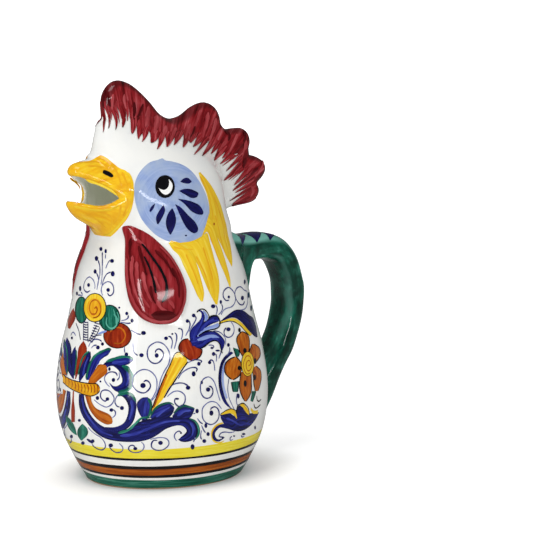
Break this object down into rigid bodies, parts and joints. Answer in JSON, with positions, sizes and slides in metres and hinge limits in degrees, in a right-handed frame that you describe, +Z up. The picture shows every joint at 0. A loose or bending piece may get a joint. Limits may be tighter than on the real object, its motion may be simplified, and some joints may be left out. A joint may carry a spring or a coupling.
{
  "type": "rooster pitcher",
  "caption": "Hand-painted earthenware pitcher in the form of a rooster, with a thrown body, a hollow head whose open beak pours, a comb over the crown, wattles and a strap handle.",
  "frame": {"origin": "centre of the foot's flat underside, on the table", "axes": "+Z up; the beak points along -X and the handle stands out along +X; -Y is the rooster's left side"},
  "size_m": [0.1914, 0.144, 0.2695],
  "materials": {
    "painted_white_glaze": "gloss",
    "crimson_glaze": "gloss",
    "yellow_glaze": "gloss",
    "teal_glaze": "gloss",
    "green_glaze": "gloss"
  },
  "bodies": {
    "root": {"foot": "green_glaze", "belly_wall": "painted_white_glaze", "neck_wall": "painted_white_glaze", "head_shell": "painted_white_glaze", "comb": "crimson_glaze", "upper_beak": "yellow_glaze", "lower_beak": "yellow_glaze", "left_wattle": "crimson_glaze", "right_wattle": "crimson_glaze", "handle": "teal_glaze"}
  },
  "joints": []
}
